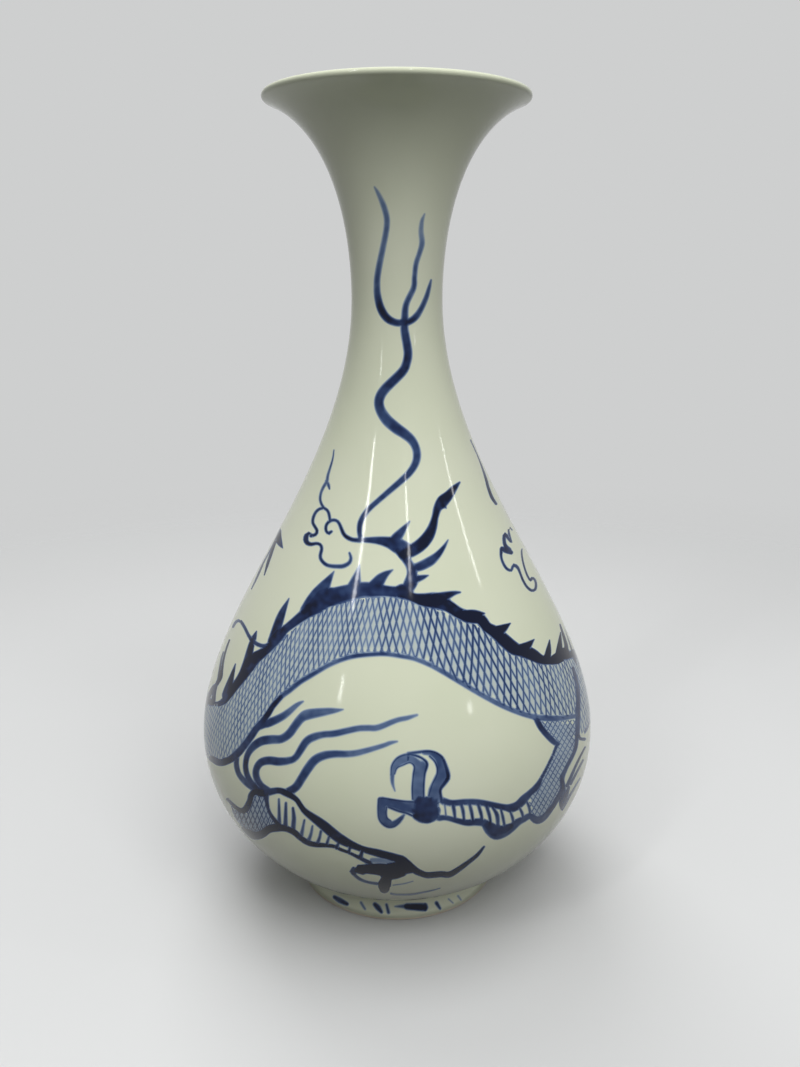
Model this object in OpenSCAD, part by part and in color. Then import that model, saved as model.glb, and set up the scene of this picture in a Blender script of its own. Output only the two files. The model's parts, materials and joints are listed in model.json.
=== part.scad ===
// Pear-shaped wine vase, yuhuchunping: three thrown sections and a foot ring,
// joined with slip, then glazed outside, inside and under the base.
// Millimetres, +Z up, origin at the middle of the standing foot.
// Outside sizes are measured over the glaze, apart from the bare foot.

/* [Overall] */
// Height from the standing foot to the top of the lip
vase_height = 300; // [270:1:340]

/* [Foot] */
// Diameter of the foot ring where it stands
foot_diameter = 80.5; // [76:0.5:92]
// Diameter of the foot ring under the body
foot_top_diameter = 73; // [70:0.2:80]
// Height of the foot ring with its slip
foot_height = 9; // [6:0.1:12]
// Width of the bare rim that the vase stands on
foot_rim_width = 6; // [4:0.1:9]
// Width of the foot ring under the body
foot_top_width = 4.6; // [3:0.1:8]
// Bevel on both edges of the standing rim
foot_bevel = 0.7; // [0.2:0.1:1.2]

/* [Belly] */
// Diameter at the widest point
belly_diameter = 155; // [140:1:170]
// Height of the widest point
belly_height = 66; // [54:1:70]
// Rise of the underside where it leaves the foot, in degrees
base_angle = 25; // [14:1:38]
// Pull of the flat underside towards the belly, as a share of its reach
base_fullness = 0.66; // [0.3:0.01:0.8]
// Roundness of the belly below its widest point, as a share of the rise
belly_fullness_below = 0.44; // [0.3:0.01:0.6]
// Roundness of the belly above its widest point, as a share of the rise
belly_fullness_above = 0.28; // [0.2:0.01:0.45]

/* [Neck] */
// Diameter at the narrowest point
neck_diameter = 33; // [28:0.2:44]
// Height of the narrowest point
neck_height = 233; // [215:1:245]
// Length of the slender stretch below the narrowest point, as a share of the rise
neck_fullness_below = 0.38; // [0.25:0.01:0.5]
// Length of the slender stretch above the narrowest point, as a share of the rise
neck_fullness_above = 0.36; // [0.2:0.01:0.6]

/* [Mouth] */
// Diameter over the lip
mouth_diameter = 92.6; // [84:0.2:104]
// Thickness of the rounded lip
lip_thickness = 2.3; // [1.8:0.1:3.4]
// Rise of the flared mouth at the lip, in degrees
flare_angle = 21; // [10:1:30]
// Spread of the flared mouth, as a share of its reach
flare_fullness = 0.86; // [0.5:0.01:0.95]

/* [Walls and glaze] */
// Thickness of the clay wall at the foot
lower_wall = 5.6; // [4:0.1:8]
// Thickness of the glaze
glaze = 0.4; // [0.2:0.05:0.8]
// Bare height of the foot ring below the outer glaze
outer_bare_height = 1.2; // [0.8:0.1:3]
// Bare height of the foot ring below the glaze of the base
inner_bare_height = 2.2; // [1.4:0.1:4]

/* [Seams] */
// Thickness of a slip seam
slip = 0.8; // [0.4:0.1:1.6]
// Height of the seam that joins the lower and upper body
belly_seam_height = 74; // [71:1:90]
// Height of the seam that joins the upper body and the neck
neck_seam_height = 172; // [150:1:200]

/* [Hidden] */
$fn = 96;
body_steps = 20;
neck_steps = 26;
lip_steps = 10;
porcelain = "#e9e3d6";
slip_white = "#f3efe6";
glaze_ivory = "#dfe3cf";

// Clay radii, under the glaze
foot_radius = foot_diameter / 2;
foot_top_radius = foot_top_diameter / 2;
belly_radius = belly_diameter / 2 - glaze;
neck_radius = neck_diameter / 2 - glaze;

// Rounded lip: the clay's own radius, the middle of its roll and the way it points
lip_radius = lip_thickness / 2 - glaze;
lip_centre = [mouth_diameter / 2 - lip_thickness / 2, vase_height - lip_thickness / 2];
lip_along = [cos(flare_angle), sin(flare_angle)];
lip_outward = [sin(flare_angle), -cos(flare_angle)];
lip_start = lip_centre + lip_radius * lip_outward;

// The clay's outline climbs along three curves: underside, shoulder and flared neck
foot_top = [foot_top_radius, foot_height];
belly = [belly_radius, belly_height];
neck = [neck_radius, neck_height];
underside = [
    foot_top,
    foot_top + base_fullness * (belly_radius - foot_top_radius) * [cos(base_angle), sin(base_angle)],
    belly - [0, belly_fullness_below * (belly_height - foot_height)],
    belly];
shoulder = [
    belly,
    belly + [0, belly_fullness_above * (neck_height - belly_height)],
    neck - [0, neck_fullness_below * (neck_height - belly_height)],
    neck];
flare = [
    neck,
    neck + [0, neck_fullness_above * (lip_start.y - neck_height)],
    lip_start - flare_fullness * (lip_start.x - neck_radius) * lip_along,
    lip_start];
curves = [underside, shoulder, flare];
way_end = len(curves);

function curve_point(p, t) =
    pow(1 - t, 3) * p[0] + 3 * pow(1 - t, 2) * t * p[1] + 3 * (1 - t) * t * t * p[2] + pow(t, 3) * p[3];
function curve_slope(p, t) =
    pow(1 - t, 2) * (p[1] - p[0]) + 2 * (1 - t) * t * (p[2] - p[1]) + t * t * (p[3] - p[2]);

// A place on the outline is its way: the number of the curve and the share along it
function curve_number(way) = min(floor(way), way_end - 1);
function clay(way) = curve_point(curves[curve_number(way)], way - curve_number(way));
function outward(way) =
    let (slope = curve_slope(curves[curve_number(way)], way - curve_number(way)))
    [slope.y, -slope.x] / norm(slope);

// The wall thins evenly from the foot to the lip
function wall(way) =
    let (share = (clay(way).y - foot_height) / (lip_start.y - foot_height))
    lower_wall + share * (2 * lip_radius - lower_wall);
function clay_inside(way) = clay(way) - wall(way) * outward(way);
function glaze_outside(way) = clay(way) + glaze * outward(way);
function glaze_inside(way) = clay(way) - (wall(way) + glaze) * outward(way);

// The way at a height, found by halving
function way_at(height, low = 0, high = way_end, halvings = 40) =
    let (middle = (low + high) / 2)
    halvings == 0 ? middle
    : clay(middle).y < height ? way_at(height, middle, high, halvings - 1)
    : way_at(height, low, middle, halvings - 1);

// Ways at which the outline is cut into sections and seams, from the foot up
cuts = [0, way_at(belly_seam_height - slip / 2), way_at(belly_seam_height + slip / 2),
    way_at(neck_seam_height - slip / 2), way_at(neck_seam_height + slip / 2), way_end];
steps = [body_steps, 1, body_steps, 1, neck_steps];
function ways(piece) = [
    for (k = [0:steps[piece]]) cuts[piece] + (cuts[piece + 1] - cuts[piece]) * k / steps[piece]];
all_ways = [for (piece = [0:len(steps) - 1]) for (k = [0:steps[piece]])
    if (piece == 0 || k > 0) ways(piece)[k]];
function reversed(list) = [for (k = [len(list) - 1:-1:0]) list[k]];

// Points round the lip, from its underside to its inside
function lip_roll(radius) = [
    for (k = [0:lip_steps])
        let (turn = 180 * k / lip_steps)
        lip_centre + radius * (cos(turn) * lip_outward + sin(turn) * lip_along)];

// Foot ring: radii of its two leaning sides at a height
function foot_outside(z) =
    foot_radius + (foot_top_radius - foot_radius) * (z - foot_bevel) / (foot_height - foot_bevel);
foot_inside_bottom = foot_radius - foot_rim_width;
foot_inside_top = foot_top_radius - foot_top_width;
function foot_inside(z) = foot_inside_bottom + (foot_inside_top - foot_inside_bottom) * z / foot_height;
foot_out_normal = [foot_height - foot_bevel, foot_radius - foot_top_radius]
    / norm([foot_height - foot_bevel, foot_radius - foot_top_radius]);
foot_in_normal = [-foot_height, foot_inside_top - foot_inside_bottom]
    / norm([foot_height, foot_inside_top - foot_inside_bottom]);
down = [0, -1];
up = [0, 1];

// Corner of a coat of glaze where two faces meet
function coat_corner(corner, normal_a, normal_b) =
    corner + glaze * (normal_a + normal_b) / (1 + normal_a * normal_b);
function coat(point, normal) = point + glaze * normal;

ring_height = foot_height - slip;
floor_edge = clay_inside(0);

module turned(outline) {
    rotate_extrude() polygon(outline);
}

// A stretch of the wall between its outside and its inside
module wall_stretch(piece) {
    turned(concat(
        [for (way = ways(piece)) clay(way)],
        [for (way = reversed(ways(piece))) clay_inside(way)]));
}

module foot_ring() {
    color(porcelain) turned([
        [foot_inside(0) + foot_bevel, 0],
        [foot_radius - foot_bevel, 0],
        [foot_radius, foot_bevel],
        [foot_outside(ring_height), ring_height],
        [foot_inside(ring_height), ring_height],
        [foot_inside(foot_bevel), foot_bevel]]);
}

module foot_slip() {
    color(slip_white) turned([
        [foot_outside(ring_height), ring_height],
        foot_top,
        [foot_inside(foot_height), foot_height],
        [foot_inside(ring_height), ring_height]]);
}

module lower_body() {
    color(porcelain) turned(concat(
        [[0, foot_height]],
        [for (way = ways(0)) clay(way)],
        [for (way = reversed(ways(0))) clay_inside(way)],
        [[0, floor_edge.y]]));
}

module belly_slip() {
    color(slip_white) wall_stretch(1);
}

module upper_body() {
    color(porcelain) wall_stretch(2);
}

module neck_slip() {
    color(slip_white) wall_stretch(3);
}

module neck_and_mouth() {
    inner_ways = reversed(ways(4));
    color(porcelain) turned(concat(
        [for (way = ways(4)) clay(way)],
        [for (k = [1:lip_steps - 1]) lip_roll(lip_radius)[k]],
        [for (way = inner_ways) clay_inside(way)]));
}

// From the foot ring up the outside and over the lip
module outer_glaze() {
    bare_edge = [foot_outside(outer_bare_height), outer_bare_height];
    climbing = [for (way = all_ways) if (way > 0 && way < way_end) way];
    color(glaze_ivory) turned(concat(
        [bare_edge, coat(bare_edge, foot_out_normal)],
        [coat_corner(foot_top, foot_out_normal, outward(0))],
        [for (way = climbing) glaze_outside(way)],
        lip_roll(lip_radius + glaze),
        reversed(lip_roll(lip_radius)),
        [for (way = reversed(climbing)) clay(way)],
        [foot_top]));
}

// Over the floor and up the inside to the lip
module inner_glaze() {
    climbing = [for (way = all_ways) if (way > 0) way];
    color(glaze_ivory) turned(concat(
        [[0, floor_edge.y], floor_edge],
        [for (way = climbing) clay_inside(way)],
        [for (way = reversed(climbing)) glaze_inside(way)],
        [coat_corner(floor_edge, up, -outward(0))],
        [[0, floor_edge.y + glaze]]));
}

// Under the base and down the inside of the foot ring
module base_glaze() {
    bare_edge = [foot_inside(inner_bare_height), inner_bare_height];
    base_edge = [foot_inside(foot_height), foot_height];
    color(glaze_ivory) turned([
        [0, foot_height],
        base_edge,
        bare_edge,
        coat(bare_edge, foot_in_normal),
        coat_corner(base_edge, foot_in_normal, down),
        [0, foot_height - glaze]]);
}

foot_ring();
foot_slip();
lower_body();
belly_slip();
upper_body();
neck_slip();
neck_and_mouth();
outer_glaze();
inner_glaze();
base_glaze();
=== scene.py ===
"""Glaze, cobalt painting, light and camera for a pear-shaped porcelain vase."""

import json
import math
from collections import namedtuple

import bpy
import numpy as np
from mathutils import Euler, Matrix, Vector, noise
from mathutils.bvhtree import BVHTree


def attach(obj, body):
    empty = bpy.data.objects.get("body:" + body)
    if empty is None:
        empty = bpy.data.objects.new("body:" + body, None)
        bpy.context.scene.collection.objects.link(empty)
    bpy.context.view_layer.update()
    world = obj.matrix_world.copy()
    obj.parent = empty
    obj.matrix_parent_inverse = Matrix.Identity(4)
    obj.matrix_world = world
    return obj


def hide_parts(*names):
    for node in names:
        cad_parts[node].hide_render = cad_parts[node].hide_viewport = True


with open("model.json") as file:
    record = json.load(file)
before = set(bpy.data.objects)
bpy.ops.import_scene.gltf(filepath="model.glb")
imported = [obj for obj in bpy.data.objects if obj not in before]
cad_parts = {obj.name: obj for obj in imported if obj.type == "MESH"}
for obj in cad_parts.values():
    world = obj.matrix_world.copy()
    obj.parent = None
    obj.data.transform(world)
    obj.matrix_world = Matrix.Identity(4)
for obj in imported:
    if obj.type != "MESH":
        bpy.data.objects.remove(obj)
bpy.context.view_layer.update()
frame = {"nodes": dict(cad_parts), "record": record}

# Lengths below are in millimetres; meshes are made in metres
MM = 0.001

# The clay's outline, with the sizes and shares of the solids
FOOT_RADIUS = 40.25
FOOT_BEVEL = 0.7
FOOT_TOP = np.array([36.5, 9.0])
OUTER_BARE_HEIGHT = 1.2
BELLY = np.array([77.1, 66.0])
NECK = np.array([16.1, 233.0])
LIP_CENTRE = np.array([45.15, 298.85])
LIP_RADIUS = 0.75
LOWER_WALL = 5.6
GLAZE = 0.4
BASE_ANGLE = math.radians(25)
FLARE_ANGLE = math.radians(21)
BASE_FULLNESS = 0.66
BELLY_FULLNESS_BELOW = 0.44
BELLY_FULLNESS_ABOVE = 0.28
NECK_FULLNESS_BELOW = 0.38
NECK_FULLNESS_ABOVE = 0.36
FLARE_FULLNESS = 0.86
FINE_STEPS = 400
CLAY_STEPS = 24
JOIN_CLEARANCE = 0.2

# The photograph's frame, and the camera that was fitted to it
PHOTO_WIDTH = 800
PHOTO_HEIGHT = 1067
PHOTO_FOCAL = 940
PHOTO_AXIS = 397.1
CAMERA_PLACE = np.array([0.0, -351.06, 239.34])
CAMERA_PITCH = math.radians(15.196)
SENSOR = 36.0

# Brushwork, in millimetres: steps along a stroke, its soft edge and its place on the glaze
BRUSH_STEP = 0.7
SOFT_EDGE = 0.36
SCALES_LIFT = 0.015
STROKE_LIFT = 0.025
STROKE_STEP = 0.0004
STROKE_DEPTH = 0.06
PIXELS_PER_MM = 3.2
THIN_SHARE = 0.5
THIN_TONE = 0.75
STROKE_SHARE = 0.8
SCALE_SHARE = 1.2
CAP_TURNS = np.radians([30, 58, 82])
LEAST_COLUMNS = 5
EDGES_PER_COLUMN = 3
MAP_MARGIN = 0.02
GIRTH_RADIUS = BELLY[0] + GLAZE
MM_PER_DEGREE = math.radians(1) * GIRTH_RADIUS

# The uneven load of the brush: waves of (strength, how many to a millimetre)
MOTTLES = [(0.2, 0.12), (0.12, 0.5)]


def srgb(red, green, blue):
    """A colour as linear light, from its values between 0 and 255."""
    def linear(value):
        share = value / 255
        return share / 12.92 if share <= 0.04045 else ((share + 0.055) / 1.055) ** 2.4
    return (linear(red), linear(green), linear(blue), 1.0)


# Outline of the vase

def unit(angle):
    """One step at an angle."""
    return np.array([math.cos(angle), math.sin(angle)])


lip_along = unit(FLARE_ANGLE)
lip_outward = np.array([math.sin(FLARE_ANGLE), -math.cos(FLARE_ANGLE)])
lip_start = LIP_CENTRE + LIP_RADIUS * lip_outward
UP = np.array([0.0, 1.0])
belly_rise = BELLY[1] - FOOT_TOP[1]
neck_rise = NECK[1] - BELLY[1]
CURVES = [
    (FOOT_TOP,
     FOOT_TOP + BASE_FULLNESS * (BELLY[0] - FOOT_TOP[0]) * unit(BASE_ANGLE),
     BELLY - BELLY_FULLNESS_BELOW * belly_rise * UP,
     BELLY),
    (BELLY,
     BELLY + BELLY_FULLNESS_ABOVE * neck_rise * UP,
     NECK - NECK_FULLNESS_BELOW * neck_rise * UP,
     NECK),
    (NECK,
     NECK + NECK_FULLNESS_ABOVE * (lip_start[1] - NECK[1]) * UP,
     lip_start - FLARE_FULLNESS * (lip_start[0] - NECK[0]) * lip_along,
     lip_start),
]


def clay_outline(steps):
    """Points up the clay's outside and the way out from each, from the foot to the lip."""
    points, normals = [], []
    for k, (a, b, c, d) in enumerate(CURVES):
        t = np.linspace(0, 1, steps + 1)[1 if k else 0:, None]
        s = 1 - t
        points.append(s ** 3 * a + 3 * s ** 2 * t * b + 3 * s * t * t * c + t ** 3 * d)
        slope = s ** 2 * (b - a) + 2 * s * t * (c - b) + t * t * (d - c)
        slope /= np.linalg.norm(slope, axis=1)[:, None]
        normals.append(np.c_[slope[:, 1], -slope[:, 0]])
    return np.vstack(points), np.vstack(normals)


def foot_outside(height):
    """A point on the outside of the clay foot ring."""
    share = (height - FOOT_BEVEL) / (FOOT_TOP[1] - FOOT_BEVEL)
    return np.array([FOOT_RADIUS + share * (FOOT_TOP[0] - FOOT_RADIUS), height])


def coat_corner(corner, normal_a, normal_b):
    """The corner of a coat of glaze over a corner of the clay."""
    return corner + GLAZE * (normal_a + normal_b) / (1 + normal_a @ normal_b)


fine_clay, fine_normals = clay_outline(FINE_STEPS)
foot_normal = np.array([FOOT_TOP[1] - FOOT_BEVEL, FOOT_RADIUS - FOOT_TOP[0]])
foot_normal /= np.linalg.norm(foot_normal)
bare_edge = foot_outside(OUTER_BARE_HEIGHT)
foot_join = coat_corner(FOOT_TOP, foot_normal, fine_normals[0])
fine_coat = fine_clay + GLAZE * fine_normals
above_join = fine_coat[:, 1] > foot_join[1] + JOIN_CLEARANCE
coat = np.vstack([[bare_edge + GLAZE * foot_normal], [foot_join], fine_coat[above_join]])
coat_normals = np.vstack([[foot_normal], [foot_normal], fine_normals[above_join]])


def glaze_point(angle, height, lift=0.0):
    """A place on the outer glaze, and the way out from it. Angle 0 is the front, and angles rise to
    the right."""
    radius = np.interp(height, coat[:, 1], coat[:, 0])
    out = np.interp(height, coat[:, 1], coat_normals[:, 0])
    up = np.interp(height, coat[:, 1], coat_normals[:, 1])
    normal = np.stack([out * np.sin(angle), -out * np.cos(angle), up], -1)
    place = np.stack([radius * np.sin(angle), -radius * np.cos(angle), height], -1)
    return place + lift * normal, normal


def lip_roll(radius, steps=14):
    """Points round the lip, from its underside to its inside."""
    turn = np.linspace(0, math.pi, steps + 1)[:, None]
    return LIP_CENTRE + radius * (np.cos(turn) * lip_outward + np.sin(turn) * lip_along)


def evenly(points, step):
    """Points along a line of points, about a step apart, with its corners kept."""
    points = np.asarray(points)
    made = [points[:1]]
    for a, b in zip(points, points[1:]):
        count = max(1, round(np.linalg.norm(b - a) / step))
        made.append(a + (b - a) * (np.arange(1, count + 1) / count)[:, None])
    return np.vstack(made)


# Turned meshes

TURN_STEPS = 300


def add_mesh(name, points, faces, material, uv, pigment=None, normals=None):
    """A shaded mesh from points in millimetres, with a place on the bake's map for each face corner."""
    mesh = bpy.data.meshes.new(name)
    mesh.from_pydata((points * MM).tolist(), [], faces)
    mesh.polygons.foreach_set("use_smooth", np.ones(len(mesh.polygons), bool))
    mesh.uv_layers.new(name="OFBake").uv.foreach_set("vector", np.asarray(uv, np.float32).ravel())
    if pigment is not None:
        attribute = mesh.attributes.new("pigment", "FLOAT", "POINT")
        attribute.data.foreach_set("value", pigment.astype(np.float32))
    if normals is not None:
        mesh.normals_split_custom_set_from_vertices(normals.tolist())
    mesh.materials.append(material)
    piece = bpy.data.objects.new(name, mesh)
    bpy.context.scene.collection.objects.link(piece)
    return piece


def turned_faces(outline, closed):
    """Points, faces and map places of a line turned about the axis, and each row's share of its run."""
    rows = len(outline)
    angle = np.arange(TURN_STEPS) * math.tau / TURN_STEPS
    points = np.stack([
        np.outer(outline[:, 0], np.sin(angle)),
        -np.outer(outline[:, 0], np.cos(angle)),
        np.repeat(outline[:, 1:], TURN_STEPS, 1)], -1).reshape(-1, 3)
    sides = np.diff(np.vstack([outline, outline[:1]]), axis=0)
    run = np.r_[0, np.cumsum(np.linalg.norm(sides, axis=1))]
    run /= run[-1]
    faces, uv = [], []
    for row in range(rows if closed else rows - 1):
        near, far = row * TURN_STEPS, (row + 1) % rows * TURN_STEPS
        for k in range(TURN_STEPS):
            turn = (k + 1) % TURN_STEPS
            left, right = k / TURN_STEPS, (k + 1) / TURN_STEPS
            faces.append((near + k, near + turn, far + turn, far + k))
            uv += [(left, run[row]), (right, run[row]), (right, run[row + 1]), (left, run[row + 1])]
    return points, faces, uv, run


def turned(name, outline, material, paint=None):
    """A piece turned about the axis. Its outline is closed, or runs from the axis to the axis."""
    capped = outline[0][0] == 0
    ring = outline[1:-1] if capped else outline
    points, faces, uv, run = turned_faces(ring, not capped)
    if capped:
        last = len(points) - TURN_STEPS
        points = np.vstack([points, [[0, 0, outline[0][1]], [0, 0, outline[-1][1]]]])
        for k in range(TURN_STEPS):
            turn = (k + 1) % TURN_STEPS
            left, right = k / TURN_STEPS, (k + 1) / TURN_STEPS
            faces.append((turn, k, len(points) - 2))
            uv += [(right, run[1]), (left, run[1]), (left, run[0])]
            faces.append((last + k, last + turn, len(points) - 1))
            uv += [(left, run[-3]), (right, run[-3]), (left, run[-2])]
    return add_mesh(name, points, faces, material, uv, paint(points) if paint else None)


# Canvases and brushwork

Canvas = namedtuple("Canvas", "find place scale flipped")
LEAST_FACING = -0.05
LEAST_SOFT = 0.25


def photo_canvas(turn=0.0, mirrored=False, rise=0.0):
    """Pixels of the photograph, laid on the glaze that they show or moved round the vase from there."""
    way = -1 if mirrored else 1

    def find(places):
        found = []
        for x, y in places.reshape(-1, 2):
            aim = Vector((x - PHOTO_WIDTH / 2, PHOTO_HEIGHT / 2 - y, -PHOTO_FOCAL))
            hit = glaze_tree.ray_cast(camera.location, camera_turn @ aim.normalized())[0]
            if hit is None:
                raise ValueError(f"the photograph shows no glaze at {x:.0f}, {y:.0f}")
            found.append((math.atan2(hit.x, -hit.y), hit.z / MM))
        found = np.array(found).reshape(*places.shape[:-1], 2)
        return way * found[..., 0] + math.radians(turn), found[..., 1] + rise

    def place(angle, height):
        point, normal = glaze_point(way * (angle - math.radians(turn)), height - rise)
        ray = point - CAMERA_PLACE
        ray /= np.linalg.norm(ray, axis=-1)[..., None]
        right, up, back = np.moveaxis(ray @ np.array(camera_turn), -1, 0)
        x = PHOTO_WIDTH / 2 - PHOTO_FOCAL * right / back
        y = PHOTO_HEIGHT / 2 + PHOTO_FOCAL * up / back
        return np.stack([x, y], -1), -(normal * ray).sum(-1)
    return Canvas(find, place, PIXELS_PER_MM, mirrored)


def near_turn(angle, middle):
    """The same angle, less than half a turn from a middle."""
    return (angle - middle + math.pi) % math.tau - math.pi + middle


def flat_canvas(start, level, radius, middle):
    """Millimetres on the glaze to the right of a start and above a level. The middle is where the
    strokes are, and like the start it is in degrees."""
    def find(places):
        return math.radians(start) + places[..., 0] / radius, level + places[..., 1]

    def place(angle, height):
        across = (near_turn(angle, math.radians(middle)) - math.radians(start)) * radius
        return np.stack([across, height - level], -1), np.ones(angle.shape)
    return Canvas(find, place, 1.0, True)


def patch_canvas(turn, height):
    """A canvas about a place on the glaze."""
    return flat_canvas(turn, height, np.interp(height, coat[:, 1], coat[:, 0]), turn)


def girth_canvas(middle=0.0):
    """A canvas that is measured round the belly from the front, and up from the ground."""
    return flat_canvas(0, 0, GIRTH_RADIUS, middle)


def smooth_path(points, step):
    """Points on a smooth line through the given ones, about a step apart."""
    p = np.asarray(points, float)
    p = np.vstack([2 * p[0] - p[1], p, 2 * p[-1] - p[-2]])
    path = []
    for a, b, c, d in zip(p, p[1:], p[2:], p[3:]):
        count = max(1, round(np.linalg.norm((c - b)[:2]) / step))
        t = (np.arange(count) / count)[:, None]
        path.append(b + (c - a) * t / 2 + (a - 2.5 * b + 2 * c - d / 2) * t ** 2
                    + (1.5 * b - a / 2 - 1.5 * c + d / 2) * t ** 3)
    path = np.vstack(path + [p[-2:-1]])
    path[:, 2] = np.maximum(path[:, 2], 0)
    return path


def soft_step(share):
    """A share from 0 to 1 that starts and ends gently."""
    share = np.clip(share, 0, 1)
    return share * share * (3 - 2 * share)


def stroke_pigment(places, strokes):
    """Pigment that strokes leave at places on their canvas."""
    low, high = places.min(0), places.max(0)
    best = np.zeros(len(places))
    for path, path_low, path_high in strokes:
        if (path_high < low).any() or (path_low > high).any():
            continue
        gap = np.linalg.norm(places[:, None] - path[None, :, :2], axis=2)
        load = path[:, 3] * soft_step((path[:, 2] / 2 + path[:, 4] - gap) / (2 * path[:, 4]))
        best = np.maximum(best, load.max(1))
    return best


def brush_places(path):
    """Rows of places across a path, with round ends."""
    along = np.gradient(path[:, :2], axis=0)
    along /= np.linalg.norm(along, axis=1)[:, None]
    half = path[:, 2] / 2 + path[:, 4]
    columns = LEAST_COLUMNS + 2 * round((half / path[:, 4]).max() / EDGES_PER_COLUMN)
    reach, narrowing = np.sin(CAP_TURNS)[:, None], np.cos(CAP_TURNS)
    first_cap = path[0, :2] - half[0] * along[0] * reach
    last_cap = path[-1, :2] + half[-1] * along[-1] * reach
    middle = np.vstack([first_cap[::-1], path[:, :2], last_cap])
    half = np.concatenate([half[0] * narrowing[::-1], half, half[-1] * narrowing])
    along = np.pad(along, ((len(reach), len(reach)), (0, 0)), "edge")
    across = np.c_[-along[:, 1], along[:, 0]]
    share = np.linspace(-1, 1, columns)
    return middle[:, None] + across[:, None] * (half[:, None] * share)[..., None]


def mottled(angle, height):
    """Uneven load of the brush, as a factor."""
    points = glaze_point(angle, height)[0].reshape(-1, 3)
    load = [1 + sum(strength * noise.noise(Vector(point) * pace) for strength, pace in MOTTLES)
            for point in points]
    return np.array(load).reshape(angle.shape)


Layer = namedtuple("Layer", "name strokes canvas lift lift_step")


def layer(name, strokes, canvas, lift, lift_step, step_share):
    """A piece of painting. Each of its strokes becomes a path of (across, up, width, tone, soft edge)
    that fades where it runs thin, with its bounds. The steps along it are at most a share of its
    width."""
    made = []
    for tones, line in strokes:
        widths = np.array(line)[:, 2]
        path = smooth_path(line, min(BRUSH_STEP * canvas.scale, step_share * widths.mean()))
        first, last = tones if isinstance(tones, tuple) else (tones, tones)
        fading = THIN_TONE + (1 - THIN_TONE) * soft_step(path[:, 2] / widths.max() / THIN_SHARE)
        tone = np.linspace(first, last, len(path)) * fading
        facing = canvas.place(*canvas.find(path[:, :2]))[1]
        soft = SOFT_EDGE * canvas.scale * np.clip(facing, LEAST_SOFT, 1)
        reach = path[:, 2].max() / 2 + soft.max()
        bounds = path[:, :2].min(0) - reach, path[:, :2].max(0) + reach
        made.append((np.c_[path, tone, soft], *bounds))
    return Layer(name, made, canvas, lift, lift_step)


def pigment_at(angle, height, layers):
    """Pigment that all the strokes and the scales leave at places on the glaze."""
    best = np.zeros(angle.shape)
    for other in layers:
        places, facing = other.canvas.place(angle, height)
        shown = facing > LEAST_FACING
        if shown.any():
            best[shown] = np.maximum(best[shown], stroke_pigment(places[shown], other.strokes))
    return np.maximum(np.clip(best * mottled(angle, height), 0, 1), scale_pigment(angle, height))


def painted(piece_layer, layers):
    """One piece of closed ribbons on the glaze, with the pigment of all layers."""
    name, strokes, canvas, lift, lift_step = piece_layer
    points, normals, pigment, faces, spread = [], [], [], [], []
    start = 0
    for number, (path, _, _) in enumerate(strokes):
        angle, height = canvas.find(brush_places(path))
        top, normal = glaze_point(angle, height, lift + lift_step * number)
        edges = [top.shape[1] - 1, 0]
        bottom = glaze_point(angle[:, edges], height[:, edges], -STROKE_DEPTH)[0]
        shade = pigment_at(angle, height, layers)
        points.append(np.concatenate([top, bottom], 1).reshape(-1, 3))
        normals.append(np.concatenate([normal, normal[:, edges]], 1).reshape(-1, 3))
        pigment.append(np.concatenate([shade, shade[:, edges]], 1).ravel())
        rows, ring = top.shape[0], top.shape[1] + 2
        stroke_faces = [(row * ring + k, row * ring + (k + 1) % ring,
                         (row + 1) * ring + (k + 1) % ring, (row + 1) * ring + k)
                        for row in range(rows - 1) for k in range(ring)]
        stroke_faces.append(tuple(reversed(range(ring))))
        stroke_faces.append(tuple(range((rows - 1) * ring, rows * ring)))
        order = -1 if canvas.flipped else 1
        faces += [tuple(start + corner for corner in face[::order]) for face in stroke_faces]
        spread.append(np.repeat(np.linspace(0, 1, rows), ring))
        start += rows * ring
    pigment = np.concatenate(pigment)
    spread = np.concatenate(spread)
    corners = np.concatenate(faces)
    uv = MAP_MARGIN + (1 - 2 * MAP_MARGIN) * np.c_[pigment[corners], spread[corners]]
    piece = add_mesh(name, np.vstack(points), faces, glaze_look, uv, pigment, np.vstack(normals))
    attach(piece, "root")


# Strokes on the photographed side: a tone, or a first and last tone, and (x, y, width) in its pixels

FLAME = [
    ((0.5, 0.95), [
        (374.5, 187, 1.5), (378, 193, 3.5), (383, 204, 5), (386.5, 216, 5.2), (386.8, 226, 5.2),
        (384.5, 240, 5.2), (378.3, 271, 5.6), (377, 285, 5.8), (378, 298, 6.6), (381.5, 310, 7.4),
        (387.5, 318.5, 7.4), (395.5, 322.5, 6.6), (404, 323, 6.4)]),
    ((0.45, 0.9), [
        (424.5, 214, 1.5), (422, 221, 3.5), (421, 231, 4.5), (422, 243, 5), (419.5, 253, 4.5),
        (416, 264, 4.5), (414.5, 277, 4.5), (413.5, 288, 5), (406, 305, 5.5), (404.5, 323, 7)]),
    ((0.65, 0.95), [
        (431, 280, 1.8), (429, 288, 3.5), (426, 298, 4.5), (421, 309, 5), (416, 316.5, 6),
        (410.5, 321, 6), (404, 323.5, 6)]),
    ((0.84, 0.82), [
        (404.3, 323, 6.4), (404.6, 331, 7.6), (407, 345, 8), (408, 354, 8), (406.5, 363, 8),
        (402, 372, 8.5), (386, 388, 9), (380.5, 396, 9), (379, 403, 9), (381, 411, 9.5),
        (387, 420, 10.5), (396, 428, 10.5), (404, 433.5, 9.5), (411, 439.5, 8.5), (415.5, 447, 7.5),
        (417, 455, 7.5), (415.5, 463, 7), (410.5, 471.5, 6.5), (402, 480, 6), (379, 500, 5),
        (369.5, 508.5, 5), (363.5, 516, 5), (360, 524, 5), (359.5, 532, 4.5), (360.5, 539, 4)]),
]

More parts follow.
